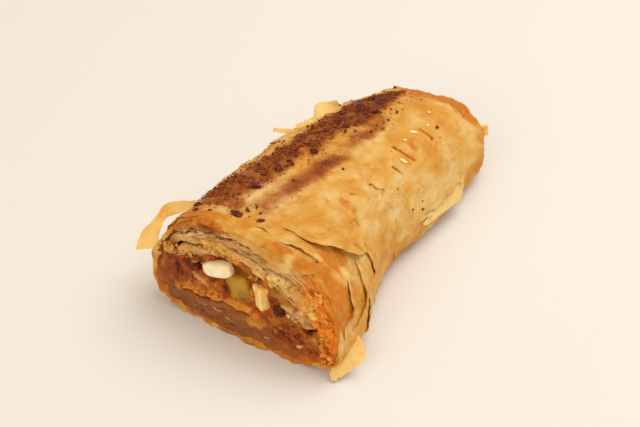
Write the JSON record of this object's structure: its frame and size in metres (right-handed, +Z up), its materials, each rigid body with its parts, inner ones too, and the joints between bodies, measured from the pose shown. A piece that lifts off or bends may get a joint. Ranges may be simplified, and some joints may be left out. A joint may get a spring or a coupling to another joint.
{
  "type": "apple strudel",
  "caption": "Flat rolled filo pastry portion with an open cut end showing cinnamon fruit filling and nuts, and a folded far end.",
  "frame": {"origin": "middle of the roll's footprint, on the surface it rests on", "axes": "+Y runs along the roll from the cut end to the folded end, +Z is up, +X is the roll's right side seen from in front of the cut"},
  "size_m": [0.0681, 0.12, 0.0351],
  "materials": {
    "filo_pastry": "baked golden, papery and flaky, with buttery satin spots",
    "fruit_filling": "moist dark brown cooked fruit and cinnamon",
    "almond": "creamy satin",
    "fruit_dice": "moist and slightly translucent",
    "raisin": "dark, moist and creased"
  },
  "bodies": {
    "root": {"pastry": "filo_pastry", "filling": "fruit_filling", "almond": "almond", "apple_chunk": "fruit_dice", "apple_wedge": "fruit_dice", "raisin": "raisin"}
  },
  "joints": []
}
